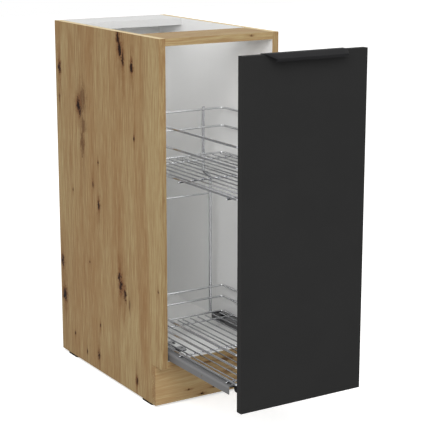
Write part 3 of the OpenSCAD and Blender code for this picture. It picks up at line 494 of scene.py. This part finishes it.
# Chromes with painted reflections and painted shade
chrome = plated("chrome_wire", CHROME, 0.2, inside=CHROME_INSIDE_PAINTED_REFLECTION, under=0.9)
chrome_rim_painted_shade = plated("chrome_rim_painted_shade", CHROME, 0.2, inside=CHROME_INSIDE_PAINTED_REFLECTION, under=0.55, rim=True)
chrome_post = plated("chrome_post", CHROME, 0.2, inside=CHROME_POST_PAINTED_REFLECTION, under=0.9)
chrome_floor = plated("chrome_floor_wire", CHROME_FLOOR_PAINTED_REFLECTION, 0.2, inside=CHROME_FLOOR_INSIDE_PAINTED_REFLECTION, under=0.9)
zinc = plated("zinc_plate", ZINC, 0.34)

finishes["floor_catch"] = catch_zinc()
finishes["glides"] = coats["glide_black"]
for basket in BASKETS:
    for rim in RIMS:
        finishes[basket + rim] = chrome_rim_painted_shade
    finishes[basket + "floor_wires"] = chrome_floor
for end in ENDS:
    for side in SIDES:
        finishes[end + side + "upright"] = chrome_post
by_slot = {
    "front_black": coats["matt_black_front"],
    "black_sheet": black_sheet,
    "black_steel": black_sheet,
    "plated_steel": carrier_coat(),
    "fixing_steel": zinc,
    "runner_plastic": coats["runner_grey"],
    "black_plastic": coats["black_plastic"],
    "roller_plastic": coats["black_plastic"],
    "bumper_rubber": coats["pale_rubber"],
    "chrome_wire": chrome,
    "dowel_wood": coats["beech_dowel"],
}
slot_of = {s["node"]: s["material_slot"] for s in frame["record"]["subparts"]}
for name, ob in nodes.items():
    ob.data.materials.clear()
    ob.data.materials.append(finishes.get(name) or by_slot[slot_of[name]])


def islands(name):
    """Low and high corners of each separate solid of a node."""
    bm = bmesh.new()
    bm.from_mesh(nodes[name].data)
    bmesh.ops.remove_doubles(bm, verts=bm.verts, dist=1e-6)
    found, seen = [], set()
    for start in bm.verts:
        if start in seen:
            continue
        seen.add(start)
        todo, places = [start], []
        while todo:
            v = todo.pop()
            places.append(v.co.copy())
            for e in v.link_edges:
                other = e.other_vert(v)
                if other not in seen:
                    seen.add(other)
                    todo.append(other)
        found.append((Vector(map(min, *places)), Vector(map(max, *places))))
    bm.free()
    return found


def piece(name, bm, material, body, replaces=()):
    """Object made of bm, riding on a body and taking its finish from a slot."""
    bmesh.ops.recalc_face_normals(bm, faces=bm.faces)
    mesh = bpy.data.meshes.new(name)
    bm.to_mesh(mesh)
    bm.free()
    ob = bpy.data.objects.new(name, mesh)
    bpy.context.collection.objects.link(ob)
    mesh.materials.append(material)
    for face in mesh.polygons:
        face.use_smooth = True
    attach(ob, body)
    if replaces:
        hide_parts(*replaces)
    return ob


def lathe(bm, profile, turn, segments=28):
    """Closed rings of the profile (radius, height) about Z, then placed by the matrix turn."""
    rings = []
    for r, z in profile:
        rings.append([bm.verts.new(turn @ Vector((r * math.cos(a), r * math.sin(a), z)))
                      for a in (2 * math.pi * i / segments for i in range(segments))])
    for low, high in zip(rings, rings[1:]):
        for i in range(segments):
            j = (i + 1) % segments
            bm.faces.new((low[i], low[j], high[j], high[i]))
    return rings


# Screw heads, flat round ones and sunk ones: radius and height, and the outline from the shank out
# in shares of these
PAN_SIZE = (0.004, 0.0022)
PAN_HEAD = ((0.96, 0.0), (1.0, 0.12), (1.0, 0.45), (0.94, 0.72), (0.80, 0.92), (0.62, 1.0))
SUNK_SIZE = (0.00325, 0.0015)
SUNK_HEAD = ((1.0, 0.94), (0.97, 1.0))
SHANK_R = 0.00175
# Ways that the heads face
UP = (0, 0, 1)
BACK = (0, 1, 0)


def cross_screw(bm, turn, shank_l, sunk):
    """Screw with a cross recess, its head standing on z = 0 of the matrix turn."""
    head_r, head_h = SUNK_SIZE if sunk else PAN_SIZE
    point_r, point_l, tip_l = 0.0002, 0.0025, 0.004
    tip = [(point_r, -shank_l), (SHANK_R * 0.6, -shank_l + point_l), (SHANK_R, -shank_l + tip_l)]
    rim = [(SHANK_R, 0)] + [(head_r * r, head_h * h) for r, h in (SUNK_HEAD if sunk else PAN_HEAD)]
    rings = lathe(bm, tip + rim, turn)
    bm.faces.new(list(reversed(rings[0])))

    def around(ring):
        return list(zip(ring, ring[1:] + ring[:1]))

    arm_half, arm_l, deep, taper = head_r * 0.13, head_r * 0.46, head_h * 0.55, 0.8
    corners = [(arm_l, -arm_half), (arm_l, arm_half), (arm_half, arm_half)]
    outline = []
    for _ in range(4):
        outline += corners
        corners = [(-y, x) for x, y in corners]
    top = [bm.verts.new(turn @ Vector((x, y, head_h))) for x, y in outline]
    foot = [bm.verts.new(turn @ Vector((x * taper, y * taper, head_h - deep))) for x, y in outline]
    edges = [bm.edges.new(pair) for pair in around(top)]
    edges += [bm.edges.get(pair) for pair in around(rings[-1])]
    bmesh.ops.triangle_fill(bm, use_beauty=True, edges=edges)
    for (a, b), (c, d) in zip(around(top), around(foot)):
        bm.faces.new((a, b, d, c))
    bm.faces.new(foot)


def screws(name, axis, body, material, sunk=False):
    """Stands a screw with a cross recess in the place of each solid of a node of screws."""
    head_h = (SUNK_SIZE if sunk else PAN_SIZE)[1]
    along = Vector(axis)
    turn = along.to_track_quat("Z", "Y").to_matrix().to_4x4()
    first_spin, next_spin = 0.3, 0.7
    bm = bmesh.new()
    for k, (low, high) in enumerate(islands(name)):
        length = (high - low).dot(along)
        seat = (low + high) / 2 + along * (length / 2 - head_h)
        place = Matrix.Translation(seat) @ turn @ Matrix.Rotation(next_spin * k + first_spin, 4, "Z")
        cross_screw(bm, place, length - head_h, sunk)
    ob = piece(name + "_detailed", bm, material, body, replaces=[name])
    ob.data.set_sharp_from_angle(angle=math.radians(35))


def handle():
    """Powder-coated sheet folded over the front's top edge, with true bend radii and a turned lip."""
    low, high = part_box("front_panel")
    t = 0.0015
    flange_h, slope_drop, lip_drop, lip_back = 0.024, 0.008, 0.013, 0.004
    half_at_front, half_at_lip = 0.097, 0.0835
    arc_steps, columns = 8, 12
    reach = low.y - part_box("edge_handle")[0].y - t / 2
    top = high.z + t / 2
    path = [(high.y + t / 2, high.z - flange_h), (high.y + t / 2, top), (low.y, top),
            (low.y - reach, top - slope_drop), (low.y - reach + lip_back, top - lip_drop)]
    radii = [0, 0.0016, 0.004, 0.0016, 0]
    line = [Vector(path[0])]
    for i in range(1, len(path) - 1):
        a, b, c = (Vector(path[j]) for j in (i - 1, i, i + 1))
        u, v = (a - b).normalized(), (c - b).normalized()
        half_angle = u.angle(v) / 2
        back = radii[i] / math.tan(half_angle)
        centre = b + (u + v).normalized() * (radii[i] / math.sin(half_angle))
        first, last = b + u * back - centre, b + v * back - centre
        for k in range(arc_steps + 1):
            line.append(centre + first.slerp(last, k / arc_steps).normalized() * radii[i])
    line.append(Vector(path[-1]))
    bm = bmesh.new()
    rows = []
    for y, z in line:
        out = max(0.0, (low.y - t - y) / (reach - t / 2))
        half = half_at_front - (half_at_front - half_at_lip) * min(out, 1.0)
        rows.append([bm.verts.new((half * (2 * k / columns - 1), y, z)) for k in range(columns + 1)])
    for r, q in zip(rows, rows[1:]):
        for k in range(columns):
            bm.faces.new((r[k], r[k + 1], q[k + 1], q[k]))
    ob = piece("folded_handle", bm, black_sheet, "pull_out", replaces=["edge_handle"])
    solid = ob.modifiers.new("sheet", "SOLIDIFY")
    solid.thickness = t
    solid.offset = 0.0
    rounded = ob.modifiers.new("edges", "BEVEL")
    rounded.width = 0.0003
    rounded.segments = 2
    rounded.limit_method = "ANGLE"
    rounded.angle_limit = math.radians(60)


def wire_ends():
    """Domed ends of the wires that cross under the baskets."""
    bulge = 0.7
    angles = [math.radians(15 * i) for i in range(6)]
    bm = bmesh.new()
    for basket in BASKETS:
        for low, high in islands(basket + "cross_wires"):
            r = (high.z - low.z) / 2
            dome = [(r * math.cos(a), r * math.sin(a) * bulge) for a in angles]
            for x, way in ((low.x, -1), (high.x, 1)):
                turn = Vector((way, 0, 0)).to_track_quat("Z", "Y").to_matrix().to_4x4()
                place = Matrix.Translation((x, (low.y + high.y) / 2, (low.z + high.z) / 2)) @ turn
                rings = lathe(bm, [(r * 0.96, -r * 0.5)] + dome, place, 16)
                bm.faces.new(list(reversed(rings[0])))
                bm.faces.new(rings[-1])
    piece("domed_wire_ends", bm, chrome, "pull_out")


def welds():
    """Small beads where the wires of the baskets and their frame cross and are welded."""
    floor_bead, cross_bead, upright_bead, bar_bead = 0.0017, 0.0022, 0.0026, 0.0024
    upright_r = 0.0035
    between_baskets_z = 0.4
    flatness = 0.85
    bm = bmesh.new()

    def bead(x, y, z, r):
        turn = Matrix.Translation((x, y, z)) @ Matrix.Diagonal((r, r, r * flatness, 1.0))
        bmesh.ops.create_icosphere(bm, subdivisions=2, radius=1.0, matrix=turn)

    def centres(name):
        return [((low + high) / 2, high - low) for low, high in islands(name)]

    rims = [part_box(basket + rim) for basket in BASKETS for rim in RIMS]
    for basket in BASKETS:
        rim_low, rim_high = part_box(basket + "base_rim")
        rim_r = (rim_high.z - rim_low.z) / 2
        for cross, size in centres(basket + "cross_wires"):
            top = cross.z + size.z / 2
            for wire, _ in centres(basket + "floor_wires"):
                bead(wire.x, cross.y, top, floor_bead)
            for x in (rim_low.x + rim_r, rim_high.x - rim_r):
                bead(x, cross.y, top, cross_bead)
    for end in ENDS:
        for side in SIDES:
            low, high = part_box(end + side + "upright")
            for rim_low, rim_high in rims:
                z = (rim_low.z + rim_high.z) / 2
                on_outer_leg = z < between_baskets_z
                leftmost = (side == "left_") == on_outer_leg
                x = low.x + upright_r if leftmost else high.x - upright_r
                bead(x, rim_high.y if end == "rear_" else rim_low.y, z, upright_bead)
        low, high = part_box(end + "frame_bar")
        for x in (low.x, high.x):
            bead(x, (low.y + high.y) / 2, (low.z + high.z) / 2, bar_bead)
    # The beads take the rims' chrome with its painted shade
    piece("wire_welds", bm, chrome_rim_painted_shade, "pull_out")


handle()
welds()
wire_ends()
screws("runner_screws", UP, "cabinet", zinc)
screws("catch_screws", UP, "cabinet", zinc)
screws("bracket_screws", BACK, "pull_out", zinc)
screws("clamp_screws", BACK, "pull_out", zinc)
screws("handle_screws", BACK, "pull_out", black_sheet, sunk=True)


# Light from all round that falls on the object, and what the floor adds to its own shade when seen
AMBIENT = 0.72
FLOOR_GLOW = 0.55


def stage():
    """White floor that keeps the object's shadow, under even light from all round."""
    def background_rays(tree, low, high):
        """low for the light that falls on the object, high where the camera or a shiny face looks."""
        path = tree.node("ShaderNodeLightPath").outputs
        looking = path["Is Camera Ray"]
        for name in ("Is Glossy Ray", "Is Transmission Ray"):
            looking = tree.math("MAXIMUM", looking, path[name])
        inputs = {"Value": looking, "To Min": low, "To Max": high}
        return tree.node("ShaderNodeMapRange", inputs).outputs[0]

    f = Finish("studio_floor", roughness=0.9, specular=0.1)
    f.colour(FLOOR_WHITE)
    glow = f.node("ShaderNodeEmission", {"Strength": background_rays(f, 0.0, FLOOR_GLOW)})
    both = f.node("ShaderNodeAddShader", {0: f.shader.outputs[0], 1: glow.outputs[0]})
    f.tree.links.new(both.outputs[0], f.tree.nodes["Material Output"].inputs["Surface"])
    mesh = bpy.data.meshes.new("studio_floor")
    side = 9.0
    corners = [(-side, -side, 0), (side, -side, 0), (side, side, 0), (-side, side, 0)]
    mesh.from_pydata(corners, [], [(0, 1, 2, 3)])
    floor = bpy.data.objects.new("studio_floor", mesh)
    bpy.context.collection.objects.link(floor)
    mesh.materials.append(f.material)

    world = bpy.data.worlds.new("studio")
    bpy.context.scene.world = world
    world.use_nodes = True
    sky = Tree(world.node_tree)
    background = world.node_tree.nodes["Background"]
    background.inputs["Color"].default_value = (1, 1, 1, 1)
    sky.feed(background.inputs["Strength"], background_rays(sky, AMBIENT, 1.0))


# Lamps: place, target, width and height, watts
LAMPS = {
    "key": ((-1.5, -2.7, 2.5), (0, 0, 0.4), (2.8, 2.4), 95.0),
    "strip": ((1.55, -1.35, 2.6), (0, 0, 0.4), (0.25, 1.6), 8.0),
    "top": ((0.0, 0.4, 3.2), (0, 0, 0.0), (2.6, 2.6), 7.0),
}


def lamp(name, place, target, size, watts):
    """Soft rectangular lamp at a place, turned to face a target."""
    data = bpy.data.lights.new(name, "AREA")
    data.shape = "RECTANGLE"
    data.size, data.size_y = size
    data.energy = watts
    ob = bpy.data.objects.new(name, data)
    ob.location = place
    ob.rotation_euler = (Vector(target) - Vector(place)).to_track_quat("-Z", "Y").to_euler()
    bpy.context.collection.objects.link(ob)


def camera():
    """The photograph's viewpoint, tilted down with no lens shift."""
    data = bpy.data.cameras.new("camera")
    data.sensor_width = 36.0
    data.lens = 114.885
    ob = bpy.data.objects.new("camera", data)
    ob.location = (-1.541135, -2.544921, 1.118274)
    yaw, pitch = 0.55422, -0.232435
    ob.rotation_euler = (math.pi / 2 + pitch, 0.0, -yaw)
    bpy.context.collection.objects.link(ob)
    bpy.context.scene.camera = ob


stage()
for name, values in LAMPS.items():
    lamp(name, *values)
camera()
bpy.context.scene.view_settings.view_transform = "Standard"
